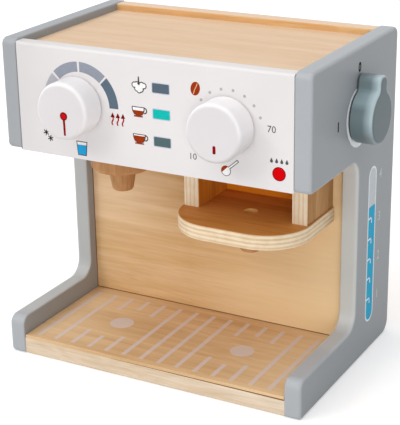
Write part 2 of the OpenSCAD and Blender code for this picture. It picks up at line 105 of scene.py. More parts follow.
def make_world():
    """Plain white where it is seen, mirrored or looked through, and a dimmer light elsewhere."""
    world = bpy.data.worlds.new("studio")
    bpy.context.scene.world = world
    world.use_nodes = True
    tree = world.node_tree
    tree.nodes.clear()

    def larger(a, b):
        node = tree.nodes.new("ShaderNodeMath")
        node.operation = "MAXIMUM"
        tree.links.new(a, node.inputs[0])
        tree.links.new(b, node.inputs[1])
        return node.outputs[0]

    def background(colour, strength):
        node = tree.nodes.new("ShaderNodeBackground")
        node.inputs["Color"].default_value = colour
        node.inputs["Strength"].default_value = strength
        return node.outputs[0]

    path = tree.nodes.new("ShaderNodeLightPath").outputs
    shown = larger(larger(path["Is Camera Ray"], path["Is Transmission Ray"]), path["Is Glossy Ray"])
    mix = tree.nodes.new("ShaderNodeMixShader")
    out = tree.nodes.new("ShaderNodeOutputWorld")
    tree.links.new(shown, mix.inputs[0])
    tree.links.new(background(WORLD_COLOUR, WORLD_LIGHT), mix.inputs[1])
    tree.links.new(background(WORLD_SHOWN, 1.0), mix.inputs[2])
    tree.links.new(mix.outputs[0], out.inputs[0])


def add_lamp(data, source):
    """A lamp on the side that source points to."""
    lamp = add_object(data.name, data)
    direction = Vector(source).normalized()
    lamp.rotation_euler = direction.to_track_quat("Z", "Y").to_euler()
    lamp.location = direction * LAMP_AWAY + Vector(LAMP_AIM)


def add_softbox(name, power, size, source):
    """A square lamp on the side that source points to."""
    data = bpy.data.lights.new(name, "AREA")
    data.shape = "SQUARE"
    data.size = size
    data.energy = power
    data.color = SOFTBOX_COLOUR
    add_lamp(data, source)


def make_lamps():
    sky = bpy.data.lights.new("sky", "SUN")
    sky.energy = SKY_STRENGTH
    sky.angle = math.radians(SKY_ANGLE)
    add_lamp(sky, SKY_FROM)
    add_softbox("softbox", SOFTBOX_POWER, SOFTBOX_SIZE, SOFTBOX_FROM)
    add_softbox("fill", FILL_POWER, FILL_SIZE, FILL_FROM)


# ---------------------------------------------------------------- materials

# Texture counts per metre, along and across the grain
BROAD_STREAKS = (7, 95)
WAVY_FIGURE = (3.2, 30)
PORES = (45, 1100)
PLY_FIBRES = (900, 60)

# Texture counts per metre, the same in every direction
PLY_STREAKS = 140
PAINT_CLOUDS = 18
PAINT_PEEL = 900
INK_GRAIN = 700
PAPER_GRAIN = 300

SCRATCHES = (400, 400, 2600)  # texture counts per metre, along X, Y and Z
FIGURE_BANDS = 55.0  # how far the bands of the figure run, in radians
PLIES = 7.0

WOOD_ROUGH, WOOD_SPECULAR = 0.55, 0.18
PLYWOOD_ROUGH = 0.6
INK_ROUGH, INK_SPECULAR = 0.5, 0.03
STEEL_ROUGH = 0.32
COAT_ROUGH = 0.15

PORE_DEPTH = 0.15 * MM
PEEL_DEPTH = 0.12 * MM

GLUE_COLOUR, FIBRE_COLOUR = "#8a6a45", "#a98457"
STEEL_DARK, STEEL_BRIGHT = "#a9acaf", "#cfd2d4"

VEIL_COVER = 0.72
TOP_COVER = 0.85


def linear(code):
    """Linear colour of a #rrggbb code."""
    values = [int(code[i:i + 2], 16) / 255 for i in (1, 3, 5)]
    return tuple(v / 12.92 if v <= 0.04045 else ((v + 0.055) / 1.055) ** 2.4 for v in values) + (1.0,)


def grey(value):
    return (value, value, value, 1)


def tint(colour, amount, margin, **spans):
    """A local tint: its colour and amount, a soft margin, and spans along the axes, in millimetres."""
    return colour, amount, margin * MM, {axis: (low * MM, high * MM) for axis, (low, high) in spans.items()}


class Surface:
    """A material round one Principled shader, with short calls for its nodes."""

    def __init__(self, name, rough, specular=0.5, coat=0.0):
        self.material = bpy.data.materials.new(name)
        self.material.use_nodes = True
        self.tree = self.material.node_tree
        self.shader = self.tree.nodes["Principled BSDF"]
        self.set("Roughness", rough)
        self.set("Specular IOR Level", specular)
        self.set("Coat Weight", coat)
        self.set("Coat Roughness", COAT_ROUGH)

    def set(self, name, value):
        self.shader.inputs[name].default_value = value

    def link(self, output, name):
        self.tree.links.new(output, self.shader.inputs[name])

    def feed(self, inputs, values):
        """Each value, a number or a node's output, goes into its input."""
        for socket, value in zip(inputs, values):
            if isinstance(value, bpy.types.NodeSocket):
                self.tree.links.new(value, socket)
            else:
                socket.default_value = value

    def node(self, kind, **sockets):
        node = self.tree.nodes.new(kind)
        self.feed([node.inputs[name.replace("_", " ")] for name in sockets], sockets.values())
        return node

    def coordinates(self, stretch, shift=(0.0, 0.0, 0.0)):
        """Place on the body, stretched to counts per metre along X, Y and Z."""
        where = self.node("ShaderNodeTexCoord").outputs["Object"]
        mapping = self.node("ShaderNodeMapping", Vector=where, Scale=stretch, Location=shift)
        return mapping.outputs["Vector"]

    def along(self, kind, axis):
        """One axis of the place (Object) or of the direction that the face looks in (Normal)."""
        vector = self.node("ShaderNodeTexCoord").outputs[kind]
        return self.node("ShaderNodeSeparateXYZ", Vector=vector).outputs[axis]

    def noise(self, vector, detail=3.0, rough=0.55, distortion=0.0):
        node = self.node("ShaderNodeTexNoise", Vector=vector, Scale=1.0, Detail=detail,
                         Roughness=rough, Distortion=distortion)
        return node.outputs["Fac"]

    def ramp(self, value, *stops):
        """Colour at a value, between stops of a place and a colour."""
        node = self.node("ShaderNodeValToRGB", Fac=value)
        for element, (place, colour) in zip(node.color_ramp.elements, stops):
            element.position = place
            element.color = colour
        return node.outputs["Color"]

    def span(self, value, low, high, out_low, out_high):
        """The value from low to high, clamped, as out_low to out_high."""
        node = self.node("ShaderNodeMapRange", Value=value, From_Min=low, From_Max=high,
                         To_Min=out_low, To_Max=out_high)
        return node.outputs["Result"]

    def maths(self, operation, *values):
        """The result of a Math node."""
        node = self.tree.nodes.new("ShaderNodeMath")
        node.operation = operation
        self.feed(node.inputs, values)
        return node.outputs[0]

    def mix(self, factor, a, b, blend="MIX"):
        node = self.tree.nodes.new("ShaderNodeMix")
        node.data_type = "RGBA"
        node.blend_type = blend
        self.feed((node.inputs[0], node.inputs[6], node.inputs[7]), (factor, a, b))
        return node.outputs[2]

    def within(self, margin, spans):
        """1 inside the spans along the axes, and 0 beyond a margin round them."""
        inside = 1.0
        for axis, (low, high) in spans.items():
            place = self.along("Object", axis)
            rise = self.span(place, low - margin, low, 0.0, 1.0)
            fall = self.span(place, high, high + margin, 1.0, 0.0)
            inside = self.maths("MULTIPLY", inside, self.maths("MULTIPLY", rise, fall))
        return inside

    def tinted(self, colour, tints):
        for code, amount, margin, spans in tints:
            part = self.maths("MULTIPLY", self.within(margin, spans), amount)
            colour = self.mix(part, colour, linear(code))
        return colour

    def facing(self, axis, low, high, most=1.0):
        """0 to most, as the face looks less or more along the axis, either way."""
        return self.span(self.maths("ABSOLUTE", self.along("Normal", axis)), low, high, 0.0, most)

    def bump(self, height, strength, distance):
        node = self.node("ShaderNodeBump", Height=height, Strength=strength, Distance=distance)
        self.link(node.outputs["Normal"], "Normal")


def grain_stretch(along, counts):
    """Stretch of a texture with the given counts per metre along and across the grain."""
    length, width = counts
    return tuple(length if axis == along else width for axis in "XYZ")


def wood_colour(s, pale, deep, along, shift, figure, fine):
    """Colour of sawn wood or veneer, and the height of its pores."""
    broad = s.noise(s.coordinates(grain_stretch(along, BROAD_STREAKS), shift), detail=4.0, rough=0.6)
    wavy = s.noise(s.coordinates(grain_stretch(along, WAVY_FIGURE), shift), detail=2.0, distortion=1.6)
    bands = s.maths("SINE", s.maths("MULTIPLY", wavy, FIGURE_BANDS))
    pores = s.noise(s.coordinates(grain_stretch(along, PORES), shift), detail=3.0, rough=0.7)
    tone = s.maths("ADD", s.span(broad, 0.32, 0.68, 0.0, 1.0), s.maths("MULTIPLY", bands, figure))
    colour = s.mix(s.span(tone, 0.0, 1.0, 0.0, 1.0), linear(pale), linear(deep))
    specks = s.ramp(pores, (0.30, grey(1 - fine)), (0.52, grey(1)))
    return s.mix(1.0, colour, specks, "MULTIPLY"), pores


def wood(name, pale, deep, along="X", shift=(0.0, 0.0, 0.0), figure=0.25, fine=0.14,
         top=None, veil=None, tints=()):
    """Wood; top is the colour of its upward faces, veil that of a thin print over it."""
    s = Surface(name, WOOD_ROUGH, WOOD_SPECULAR)
    colour, pores = wood_colour(s, pale, deep, along, shift, figure, fine)
    colour = s.tinted(colour, tints)
    if top:
        upward = s.span(s.along("Normal", "Z"), 0.6, 0.95, 0.0, TOP_COVER)
        colour = s.mix(upward, colour, linear(top))
    if veil:
        colour = s.mix(VEIL_COVER, colour, linear(veil))
    s.link(colour, "Base Color")
    s.link(s.span(pores, 0.3, 0.7, WOOD_ROUGH + 0.07, WOOD_ROUGH - 0.05), "Roughness")
    s.bump(pores, 0.25, PORE_DEPTH)
    return s.material


def plywood(name, node, across, pale, deep, face_pale, face_deep, along="X", tints=()):
    """Plywood as thick as the node along the axis across: veneer on its faces, plies on its edges."""
    s = Surface(name, PLYWOOD_ROUGH, WOOD_SPECULAR)
    low, high = (corner["XYZ".index(across)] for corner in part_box(node))
    height = s.span(s.along("Object", across), low, high, 0.0, PLIES)
    ply = s.maths("PINGPONG", height, 1.0)
    glue = s.maths("PINGPONG", height, 0.5)
    streaks = s.noise(s.coordinates((PLY_STREAKS,) * 3, (3.0, 1.0, 2.0)), detail=4.0, rough=0.65)
    fibres = s.noise(s.coordinates(grain_stretch(across, PLY_FIBRES)), detail=3.0, rough=0.7)
    shade = s.maths("ADD", s.span(ply, 0.30, 0.62, 0.0, 0.75), s.span(streaks, 0.35, 0.65, -0.15, 0.25))
    edge = s.mix(shade, linear(pale), linear(deep))
    edge = s.mix(s.span(glue, 0.0, 0.09, 0.30, 0.0), edge, linear(GLUE_COLOUR))
    edge = s.mix(s.span(fibres, 0.3, 0.6, 0.16, 0.0), edge, linear(FIBRE_COLOUR))
    edge = s.tinted(edge, tints)
    face, pores = wood_colour(s, face_pale, face_deep, along, (0.7, 0.3, 0.1), 0.2, 0.12)
    s.link(s.mix(s.facing(across, 0.75, 0.9), edge, face), "Base Color")
    s.bump(s.maths("ADD", pores, s.maths("MULTIPLY", ply, 0.6)), 0.2, PORE_DEPTH)
    return s.material


def paint(name, colour, rough, coat=0.0, specular=0.4, mottle=0.03, across="X", flat=None, tints=()):
    """Sprayed paint: faint cloudiness and orange peel; flat is a darker colour of the same paint on the
    faces across an axis, painted shade; the tints given to it here are local painted light and shade.
    """
    s = Surface(name, rough, specular, coat)
    clouds = s.noise(s.coordinates((PAINT_CLOUDS,) * 3))
    peel = s.noise(s.coordinates((PAINT_PEEL,) * 3), detail=2.0)
    shade = s.ramp(clouds, (0.3, grey(1 - mottle)), (0.7, grey(1)))
    base = s.tinted(linear(colour), tints)
    if flat:
        # painted shade: the faces across the axis take the darker flat colour
        base = s.mix(s.facing(across, 0.75, 1.0), base, linear(flat))
    s.link(s.mix(1.0, base, shade, "MULTIPLY"), "Base Color")
    s.link(s.span(clouds, 0.3, 0.7, rough - 0.04, rough + 0.04), "Roughness")
    s.bump(peel, 0.08, PEEL_DEPTH)
    return s.material


def ink(name, colour):
    """Screen-printed ink with a little unevenness."""
    s = Surface(name, INK_ROUGH, INK_SPECULAR)
    grain = s.noise(s.coordinates((INK_GRAIN,) * 3), detail=2.0)
    shade = s.ramp(grain, (0.35, grey(0.93)), (0.6, grey(1)))
    s.link(s.mix(1.0, linear(colour), shade, "MULTIPLY"), "Base Color")
    return s.material


def steel(name):
    """Steel with fine turning marks."""
    s = Surface(name, STEEL_ROUGH)
    s.set("Metallic", 1.0)
    scratches = s.noise(s.coordinates(SCRATCHES))
    s.link(s.ramp(scratches, (0.3, linear(STEEL_DARK)), (0.7, linear(STEEL_BRIGHT))), "Base Color")
    s.link(s.span(scratches, 0.3, 0.7, 0.26, 0.42), "Roughness")
    return s.material


# ---------------------------------------------------------------- the part's own pieces

# Places of local tints of painted light and shade, in millimetres
LEFT_HALF, RIGHT_HALF = (-FAR, 0), (0, FAR)
HEAD_HEIGHT = (145, FAR)
BAY_HEIGHT = (35, 145)
# The shelf's hole below carries painted light in its bore.
SHELF_HOLE_LIGHT = {"X": (41, 52), "Y": (-19, -7)}
# The pocket below carries painted shade, a deep orange, on the bay wall.
POCKET_SHADE = {"X": (11.5, 81.5), "Z": (112, FAR)}  # on the bay wall, between the bracket's walls
# The lever's shoulder span in Z and its outer rim beyond the X below carry painted highlights.
LEVER_SHOULDER_HIGHLIGHT = (194.5, 198.5)  # where the lever's round body meets its finger
LEVER_RIM_HIGHLIGHT = 128.5

EASED_BOARDS = ("front_panel", "top_panel", "bay_wall", "base_board", "drip_plate",
                "bracket_left_wall", "bracket_right_wall", "head_floor")
EASE_WIDTH = 0.5 * MM
EASE_FROM = 50  # degrees between two faces

LEVER_WELD = 0.01 * MM
LEVER_SHARP = 38  # degrees between two faces


def dress(material, *nodes):
    """The material on every slot of the nodes."""
    for name in nodes:
        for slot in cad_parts[name].material_slots:
            slot.material = material


def dress_painted():
    # Painted shade and light on the side panels: their faces across X take the darker flat colour, the left
    # head is darker, and the right upright's front in the bay and the left panel's low inner parts are
    # lighter.
    dress(paint("grey_paint", "#adb1b5", 0.42, flat="#9a9ea2", tints=[
        tint("#a2a5a9", 0.9, 10, X=LEFT_HALF, Z=HEAD_HEIGHT),
        tint("#d2d3ce", 0.75, 12, X=RIGHT_HALF, Y=(-20, 60), Z=BAY_HEIGHT),
        tint("#b8bbba", 0.8, 12, X=LEFT_HALF, Y=(-60, FAR), Z=(-FAR, 140)),
    ]), "left_side_panel", "right_side_panel")
    # Painted shade: the front panel darkens towards its left end.
    dress(paint("white_paint", "#e6e2e2", 0.40, tints=[
        tint("#d8d4d4", 0.8, 40, X=(-FAR, -95)),
    ]), "front_panel")
    # Painted light and shade on the knobs: their fronts take the darker flat colour and their sides the
    # lighter one, and their lower sides darken further.
    dress(paint("knob_paint", "#f6f3f4", 0.38, coat=0.1, across="Y", flat="#dfdbdc", tints=[
        tint("#cdc9ca", 0.9, 14, X=RIGHT_HALF, Z=(-FAR, 176)),
        tint("#cdc9ca", 0.6, 10, X=LEFT_HALF, Z=(-FAR, 170)),
    ]), "temperature_knob", "grinder_knob")
    # Painted highlight and shade on the lever: its shoulder and outer rim are lighter, its outer face takes
    # the darker flat colour, and its lower part is darker.
    smooth_lever(paint("teal_paint", "#748589", 0.3, coat=0.3, specular=0.25, mottle=0.05,
                       flat="#43585e", tints=[
        tint("#9ab1b6", 0.65, 4, Z=LEVER_SHOULDER_HIGHLIGHT),
        tint("#bbced4", 0.85, 5, X=(LEVER_RIM_HIGHLIGHT, FAR)),
        tint("#5a696d", 0.6, 12, Z=(-FAR, 172)),
    ]))


def dress_wooden():
    dress(wood("top_veneer", "#ebceb0", "#e1bf9c", shift=(0.4, 0.9, 0.2), figure=0.06, fine=0.08),
          "top_panel")
    # Painted light and shade on the bay wall: lighter towards the right, the top left and the lower right,
    # and a deep orange in the pocket between the bracket's walls, where shade falls.
    dress(wood("wall_veneer", "#e6c294", "#d3a66c", shift=(0.1, 0.5, 0.7), figure=0.10, fine=0.10, tints=[
        tint("#ffe3b4", 0.8, 70, X=(100, FAR)),
        tint("#ffe8cc", 0.35, 50, X=(-FAR, -70), Z=(90, FAR)),
        tint("#ffe3b4", 0.5, 50, X=(30, FAR), Z=(-FAR, 40)),
        tint("#fb9708", 0.95, 2, **POCKET_SHADE),
    ]), "bay_wall")
    dress(wood("floor_veneer", "#d9b385", "#c39661", shift=(0.8, 0.1, 0.3)), "head_floor")
    dress(wood("rear_veneer", "#e9c08a", "#d69f62", shift=(0.3, 0.2, 0.8), top="#ecd3bd"), "rear_panel")
    dress(plate_wood("plate_veneer"), "drip_plate")
    dress(wood("base_pine", "#e9dac6", "#dac3a6", shift=(0.2, 0.7, 0.4), figure=0.16, fine=0.16),
          "base_board")
    # Painted light: a pale tint in the bore of the shelf's hole.
    dress(plywood("shelf_plywood", "bracket_shelf", "Z", "#f6e3c5", "#dcc09a", "#dc9b55", "#c6833b",
                  tints=[tint("#ffc878", 0.95, 1, **SHELF_HOLE_LIGHT)]), "bracket_shelf")
    # Painted shade: the left bracket wall's faces are a deeper orange than the right wall's, the warm shade
    # of the pocket it faces.
    dress(plywood("left_wall_shaded_plywood", "bracket_left_wall", "X", "#fff1d9", "#eed6b2",
                  "#e69b3a", "#cf8026", along="Z"), "bracket_left_wall")
    dress(plywood("right_wall_plywood", "bracket_right_wall", "X", "#fff1d9", "#eed6b2",
                  "#c89c6c", "#b0814f", along="Z"), "bracket_right_wall")
    dress(wood("beech", "#cf9d6c", "#b07c4e", along="Z", figure=0.15, fine=0.2),
          "outlet_cup", "outlet_nozzle", "shelf_nozzle", "bay_wall_cleats",
          "left_dowels", "right_dowels", "temperature_axle", "grinder_axle", "steam_axle",
          "temperature_washer", "grinder_washer", "steam_washer")


def plate_wood(name, veil=None):
    return wood(name, "#dfbc90", "#caa172", shift=(0.6, 0.4, 0.1), figure=0.12, fine=0.10, veil=veil, tints=[
        tint("#f4dab2", 0.4, 80, X=(-FAR, -100)),
        tint("#eed0a6", 0.45, 50, X=(90, FAR)),
    ])


def dress_screws():
    dress(steel("zinc_steel"), "outlet_screw", "bracket_screws", "shelf_screws",
          "temperature_screw", "grinder_screw", "steam_screw")


def ease_edges():
    """Small chamfers along the boards' sharp edges."""
    for name in EASED_BOARDS:
        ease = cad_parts[name].modifiers.new("eased_edges", "BEVEL")
        ease.width = EASE_WIDTH
        ease.segments = 2
        ease.limit_method = "ANGLE"
        ease.angle_limit = math.radians(EASE_FROM)


def smooth_lever(material):
    """The lever's own surface without its facets; stands for the lever's node."""
    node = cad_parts["steam_lever"]
    bm = bmesh.new()
    bm.from_mesh(node.data)
    bm.transform(node.matrix_world)
    bmesh.ops.remove_doubles(bm, verts=bm.verts, dist=LEVER_WELD)
    bmesh.ops.dissolve_degenerate(bm, edges=bm.edges, dist=LEVER_WELD)
    for face in bm.faces:
        face.smooth = True
    for edge in bm.edges:
        edge.smooth = len(edge.link_faces) == 2 and edge.calc_face_angle() < math.radians(LEVER_SHARP)
    mesh = bpy.data.meshes.new("lever_skin")
    bm.to_mesh(mesh)
    bm.free()
    mesh.materials.append(material)
    skin = add_object("lever_skin", mesh)
    skin.modifiers.new("level_normals", "WEIGHTED_NORMAL").keep_sharp = True
    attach(skin, "steam_handle")
    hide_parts("steam_lever")


# ---------------------------------------------------------------- printed shapes

# Each print is a thin closed plate on a face; its foot and top are in millimetres from that face
PRINT_FOOT = 0.01
PRINT_TOP = 0.06
PRINT_STEP = 0.03  # how much higher each further layer ends
FONT_HEIGHT = 1.4  # size of the font over the height of its digits

RIGHT, BACK, UP = (1, 0, 0), (0, 1, 0), (0, 0, 1)

# Two of these inks, for the seams, are dark painted shadow in the gaps between boards.
INK_COLOURS = {
    "black": "#17191a", "blue_grey": "#969ca8", "coffee": "#9c370f", "cream": "#ecb596",
    "dark_red": "#7d0810", "dot_grey": "#b6b5ba", "faint_white": "#ced2d5", "gauge_air": "#cdd3d8",
    "gauge_blue": "#37afd6", "gauge_rim": "#eef4f8", "graphite": "#4a4846", "halo": "#cfd0de",
    "heat_red": "#a50a12", "lilac": "#b5b4bb", "patch_grey": "#5b6976", "patch_slate": "#556a6c",
    "patch_teal": "#16bcb4", "pointer_red": "#8e0b12", "red": "#c90c14", "red_disc": "#da0008",
    "scale_white": "#f0f3f5", "gap_shadow_brown": "#85562c", "gap_shadow_grey": "#77787b", "slate": "#5f707f",
    "text_grey": "#565859", "water_blue": "#2aa3dc", "white": "#f8f6f6",
}
INKS = {name: ink("ink_" + name, code) for name, code in INK_COLOURS.items()}
INKS["grid"] = plate_wood("grid_ink", veil="#d6cac9")


class Face:
    """A flat face that carries prints: u runs right and v up when it is looked at, in millimetres."""

    def __init__(self, origin, right, up, body, slot):
        self.origin, self.right, self.up = Vector(origin), Vector(right), Vector(up)
        self.out = self.right.cross(self.up)
        self.body, self.slot = body, slot

    def point(self, u, v, w):
        return self.origin + (self.right * u + self.up * v + self.out * w) * MM


def middle(node):
    return [(low + high) / 2 for low, high in zip(*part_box(node))]


def board_front(node, slot):
    """The front of a fixed board; u and v are X and Z."""
    return Face((0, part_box(node)[0][1], 0), RIGHT, UP, "housing", slot)


def knob_front(node, body):
    """The front of a knob, round its middle."""
    x, _, z = middle(node)
    return Face((x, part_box(node)[0][1], z), RIGHT, UP, body, "white_paint")


FRONT = board_front("front_panel", "white_paint")
SIDE = Face((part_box("right_side_panel")[1][0], 0, 0), BACK, UP, "housing", "grey_paint")
PLATE = Face((0, 0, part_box("drip_plate")[1][2]), RIGHT, BACK, "housing", "warm_veneer")


def polar(centre, r, angle):
    """The point at a radius and an angle in degrees from a centre."""
    a = math.radians(angle)
    return centre[0] + r * math.cos(a), centre[1] + r * math.sin(a)


def arc(centre, r, a0, a1, steps=24):
    """Points on a circle from one angle to another."""
    return [polar(centre, r, a0 + (a1 - a0) * i / steps) for i in range(steps + 1)]


def disc(centre, r, steps=32):
    return arc(centre, r, 0, 360, steps)[:-1]


def ellipse(centre, rx, ry, tilt):
    """An ellipse turned by some degrees."""
    c, s = math.cos(math.radians(tilt)), math.sin(math.radians(tilt))
    return [(centre[0] + x * rx * c - y * ry * s, centre[1] + x * rx * s + y * ry * c)
            for x, y in disc((0, 0), 1)]


def rectangle(x0, y0, x1, y1, r):
    """A rectangle with corners of radius r."""
    corners = ((x1 - r, y0 + r), (x1 - r, y1 - r), (x0 + r, y1 - r), (x0 + r, y0 + r))
    return [p for i, corner in enumerate(corners) for p in arc(corner, r, 90 * i - 90, 90 * i, 6)]


def ribbon(points, width, end_width=None):
    """Outline of a line of some width along the points."""
    end_width = end_width or width
    left, right = [], []
    for i, (x, y) in enumerate(points):
        x0, y0 = points[max(i - 1, 0)]
        x1, y1 = points[min(i + 1, len(points) - 1)]
        run = math.hypot(x1 - x0, y1 - y0)
        nx, ny = (y0 - y1) / run, (x1 - x0) / run
        half = (width + (end_width - width) * i / (len(points) - 1)) / 2
        left.append((x + nx * half, y + ny * half))
        right.append((x - nx * half, y - ny * half))
    return left + right[::-1]


def drop(centre, r, height):
    """Outline of a water drop with its tip up."""
    return arc(centre, r, 150, 390, 20) + [(centre[0], centre[1] - r + height)]


def cloud(centre, grow):
    """Outline of a cloud of lobes round its centre, grown by some width."""
    lobes = ((-3.4, 0.9, 1.8), (-1.6, 1.2, 1.9), (1.9, 1.2, 1.9), (3.5, 0.8, 1.8),
             (-1.6, -1.4, 1.7), (1.2, -1.6, 1.9), (0.0, -2.4, 1.7))
    outline = []
    for angle in range(0, 360, 5):
        c, s = polar((0, 0), 1, angle)
        reach = 0.5
        for x, y, r in lobes:
            along, aside = x * c + y * s, x * s - y * c
            if abs(aside) < r + grow:
                reach = max(reach, along + math.sqrt((r + grow) ** 2 - aside ** 2))
        outline.append((centre[0] + reach * c, centre[1] + reach * s))
    return outline


def finish_print(name, mesh, face, colour):
    """The mesh becomes a piece of the face's body, in one ink."""
    mesh.materials.append(INKS[colour])
    piece = add_object(name, mesh)
    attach(piece, face.body)


def print_on(face, name, colour, shapes, layer=0):
    """One piece of thin plates; a shape is an outline, or a list of an outline and its holes."""
    vertices, faces = [], []
    top = PRINT_TOP + PRINT_STEP * layer
    for shape in shapes:
        loops = shape if isinstance(shape[0], list) else [shape]
        ring = [p for loop in loops for p in loop]
        start, n = len(vertices), len(ring)
        for w in (PRINT_FOOT, top):
            vertices += [face.point(u, v, w) for u, v in ring]
        for a, b, c in tessellate_polygon([[Vector((u, v, 0)) for u, v in loop] for loop in loops]):
            faces.append((start + a, start + b, start + c))
            faces.append((start + n + c, start + n + b, start + n + a))
        at = start
        for loop in loops:
            for i in range(len(loop)):
                a, b = at + i, at + (i + 1) % len(loop)
                faces.append((a, b, n + b, n + a))
            at += len(loop)
    mesh = bpy.data.meshes.new(name)
    mesh.from_pydata([tuple(v) for v in vertices], [], faces)
    bm = bmesh.new()
    bm.from_mesh(mesh)
    bmesh.ops.recalc_face_normals(bm, faces=bm.faces)
    bm.to_mesh(mesh)
    bm.free()
    finish_print(name, mesh, face, colour)


def print_digits(face, name, colour, digits, centre, height, bold=0.0):
    """Digits round a centre, as one thin piece; bold widens their strokes."""
    curve = bpy.data.curves.new(name, "FONT")
    curve.body = digits
    curve.align_x = "CENTER"
    curve.align_y = "CENTER"
    curve.size = height * FONT_HEIGHT * MM
    curve.extrude = (PRINT_TOP - PRINT_FOOT) / 2 * MM
    curve.offset = bold * MM
    curve.resolution_u = 4
    source = add_object(name + "_text", curve)
    bpy.context.view_layer.update()
    mesh = bpy.data.meshes.new_from_object(source.evaluated_get(bpy.context.evaluated_depsgraph_get()))
    bpy.data.objects.remove(source)
    matrix = Matrix((face.right, face.up, face.out)).transposed().to_4x4()
    matrix.translation = face.point(*centre, (PRINT_FOOT + PRINT_TOP) / 2)
    mesh.transform(matrix)
    mesh.name = name
    mesh.materials.clear()
    finish_print(name, mesh, face, colour)


# ---------------------------------------------------------------- prints on the front


def print_temperature_dial():
    centre, inner, outer = (-51.8, 187.8), 22.2, 29.0

    def band(a0, a1):
        return arc(centre, outer, a0, a1) + arc(centre, inner, a1, a0)
    wedge = ((outer, 163), (outer, 157), (outer, 150), (outer, 144), (outer, 138.5),
             (inner, 138.5), (23.4, 145), (24.6, 150), (26.8, 157))
    print_on(FRONT, "dial_scale_low", "lilac", [[polar(centre, r, a) for r, a in wedge]])
    print_on(FRONT, "dial_scale_middle", "blue_grey", [band(135, 93.5), band(90, 47.5)])
    print_on(FRONT, "dial_scale_high", "slate", [band(44.5, 1)])


def print_heat_and_cold():
    waves, heads = [], []
    foot, rise, swing, steps = 177.2, 0.72, 0.55, 8
    for x in (-27.5, -23.5, -19.6):
        waves.append(ribbon([(x - 0.1 - swing * math.sin(i / steps * 2 * math.pi), foot + i * rise)
                             for i in range(steps + 1)], 1.0))
        heads.append([(x - 1.7, 182.3), (x + 1.7, 182.5), (x + 0.1, 185.7)])
    print_on(FRONT, "heat_marks", "heat_red", waves)
    print_on(FRONT, "heat_mark_heads", "dark_red", heads, 1)
    stars = [ribbon([polar(centre, -size, turn), polar(centre, size, turn)], 0.7)
             for centre, size in (((-80.8, 165.2), 2.3), ((-77.6, 161.4), 2.2)) for turn in (20, 80, 140)]
    print_on(FRONT, "cold_marks", "black", stars)


def print_glass():
    rim = [(-56.9, 162.6), (-48.2, 162.6), (-49.1, 152.7), (-56.0, 152.7)]
    air = [(-56.2, 162.0), (-48.9, 162.0), (-49.1, 159.9), (-56.0, 159.9)]
    water = [(-56.1, 160.1), (-49.0, 160.1), (-49.6, 153.3), (-55.5, 153.3)]
    print_on(FRONT, "glass_outline", "graphite", [rim])
    print_on(FRONT, "glass_air", "white", [air], 1)
    print_on(FRONT, "glass_water", "water_blue", [water], 1)


def print_cup(name, foot, level):
    """A cup in profile over the middle of its foot; level is its fill from 0 to 1."""
    u, v = foot
    depth, foot_half, bulge, rows = 5.4, 1.6, 3.2, 12

    def bowl(inset, top):
        half = []
        for i in range(rows + 1):
            t = i / rows * top
            x = foot_half - inset + bulge * math.sqrt(1 - (1 - t) ** 2)
            half.append((x, v + 0.7 + inset + (depth - inset) * t))
        return [(u + x, z) for x, z in half] + [(u - x, z) for x, z in half[::-1]]
    handle = ribbon(arc((u + 4.5, v + 4.3), 1.8, 110, -100, 14), 0.75)
    print_on(FRONT, name + "_handle", "graphite", [handle])
    print_on(FRONT, name + "_outline", "graphite", [bowl(0.0, 1.1)], 1)
    print_on(FRONT, name + "_air", "white", [bowl(0.7, 1.0)], 2)
    print_on(FRONT, name + "_drink", "coffee", [bowl(0.4, level)], 3)
    print_on(FRONT, name + "_saucer", "coffee", [rectangle(u - 3.4, v - 0.3, u + 3.4, v + 0.7, 0.4)])


def print_middle_column():
    steam, outline = (-6.6, 205.4), 0.35
    print_on(FRONT, "steam_outline", "graphite", [cloud(steam, outline)])
    print_on(FRONT, "steam_cloud", "white", [cloud(steam, -outline)], 1)
    print_on(FRONT, "steam_spout", "graphite",
             [ribbon([(-6.9, 212.0), (-6.8, 208.2)], 0.8, 1.1), rectangle(-7.7, 206.6, -5.9, 208.2, 0.7)], 2)
    print_cup("half_cup", (-7.8, 185.4), 0.6)
    print_cup("full_cup", (-7.6, 167.1), 0.86)
    width, height, edge = 12.3, 6.2, 0.6
    for name, colour, x, z in (("steam_patch", "patch_grey", 3.1, 202.8),
                               ("half_cup_patch", "patch_teal", 3.2, 185.7),
                               ("full_cup_patch", "patch_slate", 3.4, 167.3)):
        print_on(FRONT, name + "_edge", "halo",
                 [rectangle(x - edge, z - edge, x + width + edge, z + height + edge, 1.0)])
        print_on(FRONT, name, colour, [rectangle(x, z, x + width, z + height, 0.7)], 1)


def print_grinder_dial():
    centre, r = (57.0, 187.1), 24.0
    dots = [disc(polar(centre, r, a), 1.0, 20) for a in range(141, 20, -20)]
    print_on(FRONT, "grind_dots", "dot_grey", dots)
    slit = [(35.9, 212.4), (35.0, 210.2), (33.9, 208.2), (32.9, 205.3)]
    print_on(FRONT, "bean", "coffee", [ellipse((34.3, 208.9), 3.3, 4.5, -12)])
    print_on(FRONT, "bean_slit", "cream", [ribbon(slit, 0.55)], 1)
    print_on(FRONT, "filter_handle_edge", "graphite", [ribbon([(57.0, 159.7), (64.0, 165.7)], 1.9)])
    print_on(FRONT, "filter_handle", "white", [ribbon([(57.3, 160.0), (63.6, 165.35)], 0.95)], 1)
    print_on(FRONT, "filter_bowl_edge", "graphite", [disc((55.4, 158.0), 3.4)])
    print_on(FRONT, "filter_bowl", "white", [disc((55.4, 158.0), 2.95)], 1)
    print_on(FRONT, "filter_coffee", "coffee", [arc((55.3, 158.1), 3.4, 62, 206, 16)], 2)
    print_digits(FRONT, "grind_low_digits", "text_grey", "10", (31.7, 164.0), 4.2)
    print_digits(FRONT, "grind_high_digits", "text_grey", "70", (87.0, 189.2), 4.4)


